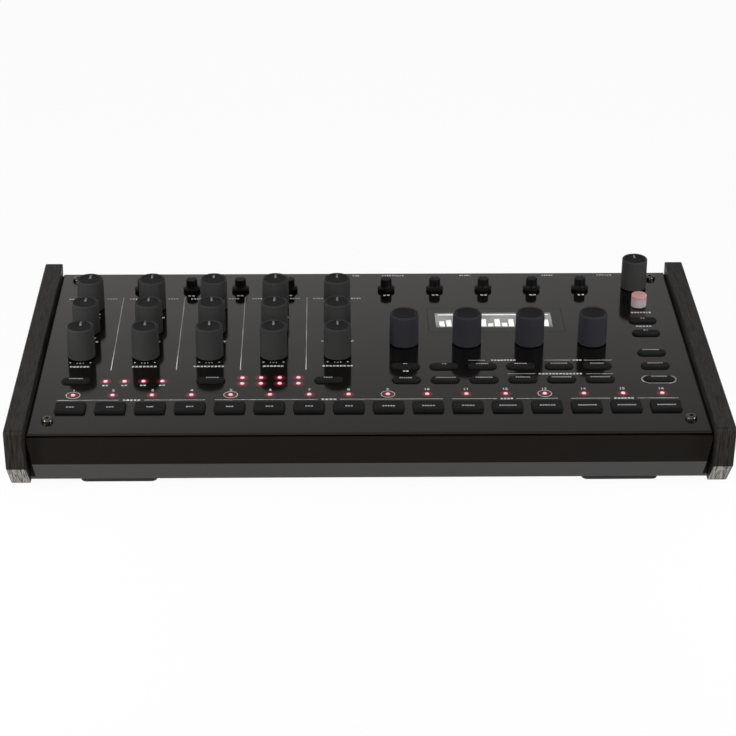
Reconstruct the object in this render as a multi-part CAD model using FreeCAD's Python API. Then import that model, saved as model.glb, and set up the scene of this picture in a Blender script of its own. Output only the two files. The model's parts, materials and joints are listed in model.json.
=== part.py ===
import FreeCAD, Part
import math
import os

from FreeCAD import Placement, Rotation, Vector

# Tabletop drum machine, in millimetres: +X to the right, +Y to the back, +Z up.
# The origin lies under the middle of the machine, on the surface that it stands on.
# Panel features are written as (x, t, h): x across, t up the sloping panel from its
# front edge, and h out of its top face.

# Overall sizes
overall_width = 484.6
overall_depth = 268.0
foot_height = 3.5
panel_front_height = 44.5
panel_slope = 3.0

# Cheeks
cheek_thickness = 13.2
cheek_rise = 7.0
cheek_nose_radius = 3.0
cheek_face_lean = 3.5
cheek_chamfer_height = 21.5
cheek_chamfer_run = 19.8
cheek_ground_gap = 1.9
cheek_edge_radius = 1.2
cheek_inner_edge = 0.8

# Top panel
panel_thickness = 1.5
panel_side_gap = 1.0
panel_front_setback = 10.3
panel_rear_setback = 3.2
panel_edge_radius = 0.7

# Bottom case
case_wall = 2.5
case_front_setback = 9.4
case_front_seam = 1.1
case_knee_height = 22.5
case_chamfer_run = 16.7
case_edge_radius = 0.9
case_end_taper = 3.7
case_end_relief = 14.0
foot_pitch_x = 340.0
foot_length = 51.5
foot_width = 16.0
foot_front_setback = 36.1
foot_rear_setback = 34.0
foot_corner = 4.0
foot_ground_edge = 0.8

# Boards under the panel
board_drop = 11.6
board_thickness = 1.6
board_margin = 8.0
board_screw_gap = 4.0
post_radius = 4.0
post_gap = 0.3
post_inset = 20.0
post_root = 1.0
boss_rib_width = 4.8
boss_rib_root = 0.5
pilot_clearance = 1.0
screw_blind_end = 6.0
shelf_depth = 32.0
shelf_end_margin = 12.0
shelf_wall_gap = 1.0

# Shared clearances
running_gap = 0.3
hole_gap = 0.4
key_gap = 0.45
knob_lift = 1.0
cut_through = 1.0

# Sound knobs, in columns of three
sound_first_x = -202.0
sound_pitch_x = 45.2
sound_columns = 5
sound_front_t = 115.4
sound_pitch_t = 39.6
sound_rows = 3
knob_height = 24.0
sound_radius = 9.75
knob_top_round = 1.1
knob_taper = 0.15
knob_skirt_wall = 1.6
knob_skirt_depth = 9.0
knob_hub_wall = 2.2
knob_hub_lift = 0.8
knob_bore_depth = 13.0
knob_dish_depth = 0.5
knob_dish_rim = 0.9

# Display encoders
encoder_first_x = 26.4
encoder_pitch_x = 44.9
encoder_count = 4
encoder_t = 135.0
encoder_radius = 10.4
encoder_top_round = 1.7

# Volume and tempo knobs
right_column_x = 201.8
volume_t = 228.0
volume_radius = 9.5
tempo_t = 194.5
tempo_radius = 5.6
tempo_height = 10.0
tempo_bore_depth = 5.5
tempo_top_round = 0.6
tempo_flutes = 20
tempo_flute_radius = 0.45
tempo_flute_end = 1.4

# Level knobs along the rear
level_first_x = -202.2
level_pitch_x = 36.33
level_count = 11
level_t = 225.0
level_radius = 4.2
level_flange_radius = 6.4
level_flange_thickness = 1.5
level_height = 9.5
level_bore_depth = 5.0
level_top_round = 0.5
level_slot_width = 1.2
level_slot_depth = 1.0
level_neck_flare = 0.4
level_neck_foot = 0.7
level_neck_top = 1.6
level_draft = 0.1

# Large and small shafts, and the bushes that they turn in
shaft_radius = 3.0
bush_wall = 1.3
small_shaft_radius = 1.8
small_bush_wall = 0.9
bush_rise = 0.6
pot_size = 13.0
small_pot_size = 9.6
pot_height = 6.8
pot_corner = 0.8
pot_bore_floor = 1.2
shaft_foot_gap = 0.3

# Step keys
step_count = 16
step_pitch = 26.92
step_centre_x = -0.5
step_t = 35.2
step_width = 20.7
step_depth = 12.4
step_rise = 2.4
step_corner = 1.4
step_edge = 0.8
step_travel = 0.8

# Small oval keys
small_key_width = 19.8
small_key_depth = 7.4
small_key_rise = 1.5
small_key_edge = 0.6
low_row_t = 76.0
high_row_t = 96.4
centre_key_first_x = 26.4
centre_key_pitch = 26.92
centre_key_count = 6
left_key_x = (-202.2, -109.2, -27.5)
right_key_t = (76.0, 96.4, 117.0, 148.6, 169.4)
key_flange = 0.9
key_flange_thickness = 1.2
key_lip_drop = 0.5
stem_radius = 1.5
switch_size = 6.2
switch_corner = 0.6
switch_height = 4.2
stem_depth = 2.0
stem_end_gap = 0.6

# Indicator lights
led_radius = 1.5
led_rise = 0.7
led_dome = 0.6
led_gap = 0.2
step_led_t = 55.2
edit_led_first_x = -181.8
edit_led_pitch = 13.05
edit_led_count = 4
edit_led_t = 75.8
bank_led_first_x = -87.4
bank_led_pitch = 12.95
bank_led_count = 4
bank_led_t = (80.6, 71.8)

# Display
display_x = 94.3
display_t = 172.0
display_width = 98.4
display_height = 39.0
display_corner = 1.5
display_gap = 0.25
lens_thickness = 1.8
screen_width = 88.0
screen_height = 30.0
screen_thickness = 3.0
screen_leg = 4.0
screen_leg_inset = 3.0

# Screws
screw_x = 216.2
screw_front_t = 18.0
screw_rear_setback = 11.35
screw_head_radius = 4.0
screw_head_height = 2.6
screw_shank_radius = 2.0
screw_length = 12.0
socket_across_flats = 2.6
socket_depth = 1.4
thread_gap = 0.1
cheek_screw_setbacks = (51.0, 135.0, 221.0)
cheek_screw_height = 26.0
cheek_screw_length = 11.0
cheek_shank_radius = 1.8
cheek_head_radius = 3.4
cheek_head_height = 2.0
cheek_blind_end = 0.5
screw_dome_share = 0.62

# Rear sockets
socket_height = 28.0
jack_x = (-205.0, -181.0, -157.0, -128.0, -104.0, -80.0, -56.0)
jack_bore_radius = 3.25
jack_block = (16.0, 28.0, 16.0)
jack_bore_depth = 24.0
mini_x = (-33.0, -19.8, -6.6)
mini_bore_radius = 1.85
mini_block = (10.0, 14.0, 10.0)
mini_bore_depth = 12.5
din_x = (10.0, 33.0)
din_bore_radius = 7.6
din_block = (19.0, 14.0, 19.0)
din_bore_depth = 8.5
usb_a_x = 63.0
usb_a_opening = (12.6, 5.2)
usb_a_block = (15.0, 17.0, 8.0)
usb_b_x = 89.0
usb_b_opening = (8.6, 7.8)
usb_b_block = (12.4, 17.0, 11.6)
usb_depth = 10.5
inlet_x = 138.8
inlet_bore_radius = 3.15
inlet_block = (11.0, 14.0, 11.0)
inlet_bore_depth = 9.5
socket_proud = 0.6
socket_wall_gap = 0.25
socket_edge = 0.42
socket_foot_margin = 1.0
socket_foot_inset = 0.5
socket_foot_setback = 3.5

# Power button
power_x = 182.2
power_size = 8.0
power_length = 12.0
power_pressed_proud = 1.1
power_travel = 1.5
power_corner = 1.2
power_edge = 0.6
power_housing = (14.0, 14.0, 14.0)
power_housing_floor = 1.0

# Worked out from the sizes above
slope = math.radians(panel_slope)
front_y = -overall_depth / 2
rear_y = overall_depth / 2
panel_front_y = front_y + panel_front_setback
panel_rear_y = rear_y - panel_rear_setback
panel_length = (panel_rear_y - panel_front_y) / math.cos(slope)
inner_width = overall_width - 2 * cheek_thickness
panel_width = inner_width - 2 * panel_side_gap
screw_rear_t = panel_length - screw_rear_setback
board_top = -board_drop + board_thickness
board_width = inner_width - 2 * case_wall - 2 * board_margin
board_front_t = screw_front_t + post_radius + board_screw_gap
board_rear_t = screw_rear_t - post_radius - board_screw_gap
key_flange_z = -panel_thickness - key_lip_drop - key_flange_thickness
stem_foot_z = board_top + switch_height - stem_depth
power_proud = power_travel + power_pressed_proud
shelf_top = socket_height - max(jack_block[2], din_block[2]) / 2


def panel_z(y, h=0.0):
    """World height of the panel plane, moved out by h, over world depth y."""
    return panel_front_height + (y - panel_front_y) * math.tan(slope) + h / math.cos(slope)


def on_panel(shape):
    """Carry a shape from panel coordinates (x, t, h) to the world."""
    moved = shape.copy()
    seat = Placement(Vector(0, panel_front_y, panel_front_height), Rotation(Vector(1, 0, 0), panel_slope))
    moved.Placement = seat.multiply(moved.Placement)
    return moved


def box(width, depth, height, x, y, z):
    """Box centred on x and y, standing on z."""
    return Part.makeBox(width, depth, height, Vector(x - width / 2, y - depth / 2, z))


def rod(radius, height, x, y, z):
    """Upright cylinder standing on z."""
    return Part.makeCylinder(radius, height, Vector(x, y, z))


def rounded_plate(width, depth, height, corner, x, y, z):
    """Upright prism of a rectangle with round corners."""
    half_w = width / 2 - corner
    half_d = depth / 2 - corner
    edges = []
    corners = ((1, 1, 0), (-1, 1, 90), (-1, -1, 180), (1, -1, 270))
    previous = None
    first = None
    for sx, sy, start in corners:
        centre = Vector(x + sx * half_w, y + sy * half_d, z)
        a, m, b = [centre + Vector(corner * math.cos(math.radians(start + d)),
                                   corner * math.sin(math.radians(start + d)), 0) for d in (0, 45, 90)]
        if previous is not None and (previous - a).Length > 1e-6:
            edges.append(Part.LineSegment(previous, a).toShape())
        edges.append(Part.Arc(a, m, b).toShape())
        first = first or a
        previous = b
    if (previous - first).Length > 1e-6:
        edges.append(Part.LineSegment(previous, first).toShape())
    return Part.Face(Part.Wire(edges)).extrude(Vector(0, 0, height))


def turned(points, x, y):
    """Solid of revolution of (radius, height) points about the upright axis at x and y."""
    outline = [Vector(x + r, y, z) for r, z in points]
    outline.append(outline[0])
    return Part.Face(Part.makePolygon(outline)).revolve(Vector(x, y, 0), Vector(0, 0, 1), 360)


def fillet_where(shape, radius, wanted):
    """Round the edges that the wanted function picks."""
    picked = [edge for edge in shape.Edges if wanted(edge)]
    return shape.makeFillet(radius, picked)


def at_height(edge, z):
    """Whether an edge lies flat at height z."""
    return abs(edge.BoundBox.ZMin - z) < 1e-3 and edge.BoundBox.ZLength < 1e-3


def at_side(edge, x):
    """Whether an edge lies in the upright plane at x."""
    return abs(edge.BoundBox.XMin - x) < 1e-3 and edge.BoundBox.XLength < 1e-3


def at_depth(edge, y):
    """Whether an edge lies in the upright plane at y."""
    return abs(edge.BoundBox.YMin - y) < 1e-3 and edge.BoundBox.YLength < 1e-3


def slab_from_profile(points, width, x_low):
    """Extrude a closed (y, z) outline along X."""
    outline = [Vector(x_low, y, z) for y, z in points]
    outline.append(outline[0])
    return Part.Face(Part.makePolygon(outline)).extrude(Vector(width, 0, 0))


def knob_places():
    """Name, x, t and kind of every turning control."""
    places = []
    for row in range(sound_rows):
        for column in range(sound_columns):
            name = "sound_knob_%02d" % (row * sound_columns + column + 1)
            t = sound_front_t + (sound_rows - 1 - row) * sound_pitch_t
            places.append((name, sound_first_x + column * sound_pitch_x, t, "sound"))
    for i in range(encoder_count):
        x = encoder_first_x + i * encoder_pitch_x
        places.append(("display_encoder_%d" % (i + 1), x, encoder_t, "encoder"))
    for i in range(level_count):
        x = level_first_x + i * level_pitch_x
        places.append(("level_knob_%02d" % (i + 1), x, level_t, "level"))
    places.append(("volume_knob", right_column_x, volume_t, "volume"))
    places.append(("tempo_knob", right_column_x, tempo_t, "tempo"))
    return places


def step_x(i):
    """Centre of step key i, counted from 0."""
    return step_centre_x + (i - (step_count - 1) / 2) * step_pitch


def small_key_places():
    """x and t of every small oval key."""
    places = [(x, low_row_t) for x in left_key_x]
    for t in (low_row_t, high_row_t):
        places += [(centre_key_first_x + i * centre_key_pitch, t) for i in range(centre_key_count)]
    places += [(right_column_x, t) for t in right_key_t]
    return places


def led_places():
    """x and t of every indicator light."""
    places = [(step_x(i), step_led_t) for i in range(step_count)]
    places += [(edit_led_first_x + i * edit_led_pitch, edit_led_t) for i in range(edit_led_count)]
    for t in bank_led_t:
        places += [(bank_led_first_x + i * bank_led_pitch, t) for i in range(bank_led_count)]
    return places


def screw_places():
    """x and t of the four panel screws."""
    return [(side * screw_x, t) for side in (-1, 1) for t in (screw_front_t, screw_rear_t)]


def shaft_size(kind):
    """Shaft radius, bush radius and pot width of a turning control."""
    if kind in ("level", "tempo"):
        return small_shaft_radius, small_shaft_radius + running_gap + small_bush_wall, small_pot_size
    return shaft_radius, shaft_radius + running_gap + bush_wall, pot_size


# Turning controls

def large_cap(x, t, radius, top_round):
    """Tall knob cap: hollow skirt, solid hub with a blind bore, dished top."""
    hub_radius = shaft_radius + knob_hub_wall
    hub_foot = knob_lift + knob_hub_lift
    skirt_top = knob_lift + knob_skirt_depth
    skirt_inner = radius - knob_skirt_wall
    bore_top = knob_lift + knob_bore_depth
    dish_radius = radius - top_round - knob_dish_rim
    dish_floor = knob_height - knob_dish_depth
    cap = turned([
        (shaft_radius, hub_foot), (hub_radius, hub_foot), (hub_radius, skirt_top), (skirt_inner, skirt_top),
        (skirt_inner, knob_lift), (radius, knob_lift), (radius - knob_taper, knob_height),
        (dish_radius + knob_dish_depth, knob_height), (dish_radius, dish_floor), (0, dish_floor),
        (0, bore_top), (shaft_radius, bore_top)], x, t)
    rim_width = 2 * (radius - knob_taper)
    cap = fillet_where(cap, top_round,
                       lambda e: at_height(e, knob_height) and abs(e.BoundBox.XLength - rim_width) < 1e-3)
    return cap, bore_top


def level_cap(x, t):
    """Small slotted cap on a wide flange."""
    bore_top = knob_lift + level_bore_depth
    flange_top = knob_lift + level_flange_thickness
    cap = turned([
        (small_shaft_radius, knob_lift), (level_flange_radius, knob_lift), (level_flange_radius, flange_top),
        (level_radius + level_neck_flare, flange_top + level_neck_foot),
        (level_radius, flange_top + level_neck_top), (level_radius - level_draft, level_height),
        (0, level_height), (0, bore_top), (small_shaft_radius, bore_top)], x, t)
    cap = fillet_where(cap, level_top_round, lambda e: at_height(e, level_height))
    slot = box(level_slot_width, level_radius + cut_through, level_slot_depth + cut_through, x,
               t + (level_radius + cut_through) / 2, level_height - level_slot_depth)
    return cap.cut(slot), bore_top


def tempo_cap(x, t):
    """Short clear cap with a fluted grip, that the light below shines through."""
    bore_top = knob_lift + tempo_bore_depth
    cap = turned([
        (small_shaft_radius, knob_lift), (tempo_radius, knob_lift), (tempo_radius, tempo_height),
        (0, tempo_height), (0, bore_top), (small_shaft_radius, bore_top)], x, t)
    cap = fillet_where(cap, tempo_top_round, lambda e: at_height(e, tempo_height))
    flutes = []
    for i in range(tempo_flutes):
        angle = 2 * math.pi * i / tempo_flutes
        flutes.append(rod(tempo_flute_radius, tempo_height - tempo_flute_end - knob_lift + cut_through,
                          x + tempo_radius * math.cos(angle), t + tempo_radius * math.sin(angle),
                          knob_lift - cut_through))
    return cap.cut(flutes), bore_top


def turning_control(x, t, kind):
    """Cap and shaft of one knob, in panel coordinates."""
    if kind == "sound":
        cap, bore_top = large_cap(x, t, sound_radius, knob_top_round)
    elif kind == "volume":
        cap, bore_top = large_cap(x, t, volume_radius, knob_top_round)
    elif kind == "encoder":
        cap, bore_top = large_cap(x, t, encoder_radius, encoder_top_round)
    elif kind == "level":
        cap, bore_top = level_cap(x, t)
    else:
        cap, bore_top = tempo_cap(x, t)
    radius = shaft_size(kind)[0]
    foot = board_top + pot_bore_floor + shaft_foot_gap
    shaft = rod(radius, bore_top - foot, x, t, foot)
    return Part.makeCompound([cap, shaft])


def pot_body(x, t, kind):
    """Pot or encoder body with its bush, open for the shaft."""
    radius, bush_radius, size = shaft_size(kind)
    bore = radius + running_gap
    bush_foot = board_top + pot_height
    body = rounded_plate(size, size, pot_height, pot_corner, x, t, board_top)
    bush = rod(bush_radius, bush_rise - bush_foot, x, t, bush_foot)
    hole = rod(bore, bush_rise - board_top, x, t, board_top + pot_bore_floor)
    return body.fuse(bush).cut(hole).removeSplitter()


# Keys

def key_body(outline, rise, edge, x, t):
    """Key cap with a hidden flange and the stem that runs in its switch.

    outline(grow, height, z) gives the key's plan shape, grown by grow, as a prism on z.
    """
    cap = outline(0.0, rise - key_flange_z, key_flange_z)
    cap = fillet_where(cap, edge, lambda e: at_height(e, rise))
    flange = outline(key_flange, key_flange_thickness, key_flange_z)
    stem = rod(stem_radius, key_flange_z - stem_foot_z, x, t, stem_foot_z)
    return cap.fuse([flange, stem]).removeSplitter()


def step_outline(x, t):
    """Plan shape of a step key."""
    def outline(grow, height, z):
        width = step_width + 2 * grow
        depth = step_depth + 2 * grow
        return rounded_plate(width, depth, height, step_corner + grow, x, t, z)
    return outline


def small_outline(x, t):
    """Plan shape of a small oval key."""
    def outline(grow, height, z):
        depth = small_key_depth + 2 * grow
        return rounded_plate(small_key_width + 2 * grow, depth, height, depth / 2, x, t, z)
    return outline


def step_key(i):
    """One step key, in panel coordinates."""
    x = step_x(i)
    return key_body(step_outline(x, step_t), step_rise, step_edge, x, step_t)


def small_key(x, t):
    """One small oval key, in panel coordinates."""
    return key_body(small_outline(x, t), small_key_rise, small_key_edge, x, t)


def key_switch(x, t):
    """Switch body on the board, with the well that its key's stem runs in."""
    body = rounded_plate(switch_size, switch_size, switch_height, switch_corner, x, t, board_top)
    well_floor = stem_foot_z - step_travel - stem_end_gap
    well = rod(stem_radius + running_gap, switch_height, x, t, well_floor)
    return body.cut(well)


# Fixed pieces

def top_panel():
    """Sheet panel with its openings, in world coordinates."""
    sheet = Part.makeBox(panel_width, panel_length, panel_thickness,
                         Vector(-panel_width / 2, 0, -panel_thickness))
    sheet = fillet_where(sheet, panel_edge_radius, lambda e: at_height(e, 0.0))
    tall = 3 * panel_thickness
    low = -2 * panel_thickness
    tools = []
    for name, x, t, kind in knob_places():
        tools.append(rod(shaft_size(kind)[1] + hole_gap, tall, x, t, low))
    for i in range(step_count):
        tools.append(step_outline(step_x(i), step_t)(key_gap, tall, low))
    for x, t in small_key_places():
        tools.append(small_outline(x, t)(key_gap, tall, low))
    for x, t in led_places():
        tools.append(rod(led_radius + led_gap, tall, x, t, low))
    for x, t in screw_places():
        tools.append(rod(screw_shank_radius + hole_gap, tall, x, t, low))
    tools.append(rounded_plate(display_width + 2 * display_gap, display_height + 2 * display_gap, tall,
                               display_corner + display_gap, display_x, display_t, low))
    return on_panel(sheet.cut(tools))


def case_profile(inset):
    """Outline of the bottom case in (y, z), moved inwards by inset, open to the panel."""
    face_y = front_y + case_front_setback + inset
    floor_z = foot_height + inset
    drop = case_knee_height - foot_height
    chamfer = math.hypot(case_chamfer_run, drop)
    knee_z = case_knee_height + inset * (chamfer - drop) / case_chamfer_run
    toe_y = front_y + case_front_setback + case_chamfer_run + inset * (chamfer - case_chamfer_run) / drop
    back_y = panel_rear_y - inset
    lid = -panel_thickness
    return [(face_y, panel_z(face_y, lid)), (face_y, knee_z), (toe_y, floor_z), (back_y, floor_z),
            (back_y, panel_z(back_y, lid))]


def socket_windows():
    """Width, height and x of every window in the rear wall."""
    windows = [(jack_block[0], jack_block[2], x) for x in jack_x]
    windows += [(mini_block[0], mini_block[2], x) for x in mini_x]
    windows += [(din_block[0], din_block[2], x) for x in din_x]
    windows.append((usb_a_block[0], usb_a_block[2], usb_a_x))
    windows.append((usb_b_block[0], usb_b_block[2], usb_b_x))
    windows.append((inlet_block[0], inlet_block[2], inlet_x))
    button_window = power_size + 2 * (running_gap - socket_wall_gap)
    windows.append((button_window, button_window, power_x))
    return windows


def post_places():
    """x and y of the posts that carry the control board."""
    reach_x = board_width / 2 - post_inset
    middle_y = panel_front_y + (board_front_t + board_rear_t) / 2
    reach_y = (board_rear_t - board_front_t) / 2 - shelf_depth - post_inset
    return [(x, middle_y + y) for x in (-reach_x, 0.0, reach_x) for y in (-reach_y, reach_y)]


def case_end_cut(side):
    """Wedge that tapers an end of the front band inwards, beside the cheek on that side."""
    face_y = front_y + case_front_setback
    x_side = side * inner_width / 2
    x_clear = x_side + side * cut_through
    x_low = x_side - side * case_end_taper
    top_z = panel_z(face_y, -panel_thickness - case_front_seam)
    outline = [Vector(x, face_y - cut_through, z) for x, z in
               [(x_side, top_z), (x_low, case_knee_height), (x_low, 0), (x_clear, 0), (x_clear, top_z)]]
    outline.append(outline[0])
    return Part.Face(Part.makePolygon(outline)).extrude(Vector(0, case_end_relief + cut_through, 0))


def bottom_case():
    """Moulded tub with a chamfered front, posts and screw bosses."""
    outer = slab_from_profile(case_profile(0.0), inner_width, -inner_width / 2)
    inner_points = case_profile(case_wall)
    lift = 2 * case_wall
    inner_points[0] = (inner_points[0][0], inner_points[0][1] + lift)
    inner_points[-1] = (inner_points[-1][0], inner_points[-1][1] + lift)
    hollow = slab_from_profile(inner_points, inner_width - 2 * case_wall, -inner_width / 2 + case_wall)
    front_edge_y = front_y + case_front_setback
    corner_width = 2 * (case_end_taper + case_wall)
    corner_depth = 2 * (case_end_relief + case_wall)
    corners = [box(corner_width, corner_depth, overall_depth, side * inner_width / 2, front_edge_y, 0)
               for side in (-1, 1)]
    seam_top = box(inner_width, 2 * case_wall, 4 * case_wall, 0, 0, -panel_thickness - case_front_seam)
    tub = outer.cut([hollow.cut(corners), on_panel(seam_top)])
    tub = fillet_where(tub, case_edge_radius,
                       lambda e: at_depth(e, front_edge_y) and abs(e.BoundBox.XLength - inner_width) < 1e-3)
    added = []
    cuts = [case_end_cut(side) for side in (-1, 1)]
    for x, y in post_places():
        top = panel_z(y - post_radius, -board_drop) - post_gap
        added.append(rod(post_radius, top - foot_height - post_root, x, y, foot_height + post_root))
    boss_height = screw_length + screw_blind_end
    boss_foot = -panel_thickness - boss_height
    for x, t in screw_places():
        added.append(on_panel(rod(post_radius, boss_height, x, t, boss_foot)))
        wall_x = math.copysign(inner_width / 2 - case_wall + boss_rib_root, x)
        rib = box(abs(wall_x - x), boss_rib_width, boss_height, (wall_x + x) / 2, t, boss_foot)
        added.append(on_panel(rib))
        cuts.append(on_panel(rod(screw_shank_radius + thread_gap, screw_length + 2 * pilot_clearance, x, t,
                                 -panel_thickness - screw_length - pilot_clearance)))
    tub = tub.fuse(added)
    for width, height, x in socket_windows():
        cuts.append(box(width + 2 * socket_wall_gap, 4 * case_wall, height + 2 * socket_wall_gap, x,
                        panel_rear_y, socket_height - height / 2 - socket_wall_gap))
    for side in (-1, 1):
        for setback in cheek_screw_setbacks:
            start = Vector(side * (inner_width / 2 - 2 * case_wall), front_y + setback, cheek_screw_height)
            cuts.append(Part.makeCylinder(cheek_shank_radius + thread_gap, 3 * case_wall, start,
                                          Vector(side, 0, 0)))
    return tub.cut(cuts)


def cheek_outline(x):
    """Side outline of a cheek as one wire at x: nose arc, leaning face, chamfer and base."""
    top_front = panel_z(front_y + cheek_nose_radius, cheek_rise)
    top_rear = panel_z(rear_y, cheek_rise)
    nose_y = front_y + cheek_nose_radius
    nose_z = top_front - cheek_nose_radius
    lean = math.atan2(cheek_face_lean, nose_z - cheek_chamfer_height)
    start, middle, end = [
        Vector(x, nose_y + cheek_nose_radius * math.cos(angle), nose_z + cheek_nose_radius * math.sin(angle))
        for angle in (math.pi / 2 + slope, math.pi * 0.75, math.pi + lean)]
    knee = Vector(x, front_y + cheek_face_lean, cheek_chamfer_height)
    toe = Vector(x, front_y + cheek_face_lean + cheek_chamfer_run, cheek_ground_gap)
    heel = Vector(x, rear_y, cheek_ground_gap)
    crown = Vector(x, rear_y, top_rear)
    edges = [Part.Arc(start, middle, end).toShape()]
    path = [end, knee, toe, heel, crown, start]
    edges += [Part.LineSegment(a, b).toShape() for a, b in zip(path, path[1:])]
    return Part.Wire(edges)


def cheek(side):
    """Wooden cheek, side -1 at the left and 1 at the right."""
    x_in = side * inner_width / 2
    blank = Part.Face(cheek_outline(x_in)).extrude(Vector(side * cheek_thickness, 0, 0))
    blank = fillet_where(blank, cheek_edge_radius, lambda e: at_side(e, side * overall_width / 2))
    blank = fillet_where(blank, cheek_inner_edge,
                         lambda e: at_side(e, x_in) and e.BoundBox.YLength > overall_depth / 2
                         and e.BoundBox.ZMax > panel_front_height)
    holes = []
    for setback in cheek_screw_setbacks:
        start = Vector(side * (inner_width / 2 - case_wall), front_y + setback, cheek_screw_height)
        holes.append(Part.makeCylinder(cheek_shank_radius + thread_gap, cheek_screw_length + cheek_blind_end,
                                       start, Vector(side, 0, 0)))
    return blank.cut(holes)


def display_unit():
    """Flush window with the screen module that stands on the board behind it."""
    lens = rounded_plate(display_width, display_height, lens_thickness, display_corner, display_x, display_t,
                         -lens_thickness)
    screen_foot = -lens_thickness - screen_thickness
    screen = box(screen_width, screen_height, screen_thickness, display_x, display_t, screen_foot)
    legs = []
    for sx in (-1, 1):
        for sy in (-1, 1):
            legs.append(box(screen_leg, screen_leg, screen_foot - board_top,
                            display_x + sx * (screen_width / 2 - screen_leg_inset),
                            display_t + sy * (screen_height / 2 - screen_leg_inset), board_top))
    return on_panel(Part.makeCompound([lens, screen.fuse(legs).removeSplitter()]))


def indicator_leds():
    """Round lights on long legs, standing on the board and domed above the panel."""
    lights = []
    for x, t in led_places():
        stalk = rod(led_radius, led_rise - board_top, x, t, board_top)
        lights.append(fillet_where(stalk, led_dome, lambda e: at_height(e, led_rise)))
    return on_panel(Part.makeCompound(lights))


def circuit_boards():
    """Control board with its pots and switches, and the socket board at the rear."""
    pieces = [box(board_width, board_rear_t - board_front_t, board_thickness, 0,
                  (board_front_t + board_rear_t) / 2, -board_drop)]
    pieces += [pot_body(x, t, kind) for name, x, t, kind in knob_places()]
    pieces += [key_switch(step_x(i), step_t) for i in range(step_count)]
    pieces += [key_switch(x, t) for x, t in small_key_places()]
    boards = [on_panel(piece) for piece in pieces]
    shelf_width = power_x - jack_x[0] + 2 * shelf_end_margin
    shelf_y = panel_rear_y - case_wall - shelf_wall_gap - shelf_depth
    boards.append(Part.makeBox(shelf_width, shelf_depth, board_thickness,
                               Vector(jack_x[0] - shelf_end_margin, shelf_y, shelf_top - board_thickness)))
    return Part.makeCompound(boards)


def socket_block(size, x):
    """Socket housing that fills its window and stands a little proud of the rear wall."""
    width, depth, height = size
    outer_y = panel_rear_y + socket_proud
    block = Part.makeBox(width, depth, height,
                         Vector(x - width / 2, outer_y - depth, socket_height - height / 2))
    return fillet_where(block, socket_edge, lambda e: at_depth(e, outer_y))


def stand_on_board(socket, size, x):
    """Add the foot that carries a socket on the socket board; the tallest kind needs none."""
    drop = socket_height - size[2] / 2 - shelf_top
    if drop < 1e-6:
        return socket
    width = size[0] - 2 * socket_foot_margin
    depth = size[1] - case_wall - socket_foot_inset - socket_foot_setback
    inner_y = panel_rear_y + socket_proud - size[1]
    return socket.fuse(Part.makeBox(width, depth, drop, Vector(x - width / 2, inner_y + socket_foot_inset,
                                                               shelf_top)))


def round_socket(size, x, radius, depth):
    """Socket with a round blind bore from the rear."""
    start = Vector(x, panel_rear_y + socket_proud + cut_through, socket_height)
    bore = Part.makeCylinder(radius, depth + cut_through, start, Vector(0, -1, 0))
    return stand_on_board(socket_block(size, x).cut(bore), size, x)


def square_socket(size, x, opening):
    """Socket with a rectangular pocket from the rear."""
    width, height = opening
    floor_y = panel_rear_y + socket_proud - usb_depth
    pocket = Part.makeBox(width, usb_depth + cut_through, height,
                          Vector(x - width / 2, floor_y, socket_height - height / 2))
    return stand_on_board(socket_block(size, x).cut(pocket), size, x)


def power_switch_housing():
    """Square sleeve inside the rear wall that the power button slides in, on its foot."""
    width, depth, height = power_housing
    inner_y = panel_rear_y - case_wall - depth
    bore = power_size + 2 * running_gap
    body = Part.makeBox(width, depth, height,
                        Vector(power_x - width / 2, inner_y, socket_height - height / 2))
    well = Part.makeBox(bore, depth, bore,
                        Vector(power_x - bore / 2, inner_y + power_housing_floor, socket_height - bore / 2))
    foot = Part.makeBox(width, depth - shelf_wall_gap, socket_height - height / 2 - shelf_top,
                        Vector(power_x - width / 2, inner_y, shelf_top))
    return body.cut(well).fuse(foot).removeSplitter()


def rear_sockets():
    """Audio, sync, data and power sockets, and the power switch housing."""
    sockets = [round_socket(jack_block, x, jack_bore_radius, jack_bore_depth) for x in jack_x]
    sockets += [round_socket(mini_block, x, mini_bore_radius, mini_bore_depth) for x in mini_x]
    sockets += [round_socket(din_block, x, din_bore_radius, din_bore_depth) for x in din_x]
    sockets.append(square_socket(usb_a_block, usb_a_x, usb_a_opening))
    sockets.append(square_socket(usb_b_block, usb_b_x, usb_b_opening))
    sockets.append(round_socket(inlet_block, inlet_x, inlet_bore_radius, inlet_bore_depth))
    sockets.append(power_switch_housing())
    return Part.makeCompound(sockets)


def power_button():
    """Square push button in the rear wall."""
    outer_y = panel_rear_y + power_proud
    low = Vector(power_x - power_size / 2, outer_y - power_length, socket_height - power_size / 2)
    button = Part.makeBox(power_size, power_length, power_size, low)
    button = fillet_where(button, power_corner, lambda e: abs(e.BoundBox.YLength - power_length) < 1e-3)
    return fillet_where(button, power_edge, lambda e: at_depth(e, outer_y))


def screw(head_radius, head_height, shank_radius, length):
    """Domed screw with a hexagon socket, head seat at the origin, shank downwards."""
    head = Part.makeCylinder(head_radius, head_height)
    head = fillet_where(head, head_height * screw_dome_share, lambda e: at_height(e, head_height))
    corner = socket_across_flats / math.sqrt(3)
    hexagon = [Vector(corner * math.cos(math.radians(60 * i)), corner * math.sin(math.radians(60 * i)),
                      head_height - socket_depth) for i in range(6)]
    hexagon.append(hexagon[0])
    key_socket = Part.Face(Part.makePolygon(hexagon)).extrude(Vector(0, 0, head_height))
    shank = Part.makeCylinder(shank_radius, length, Vector(0, 0, -length))
    return head.cut(key_socket).fuse(shank).removeSplitter()


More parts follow.
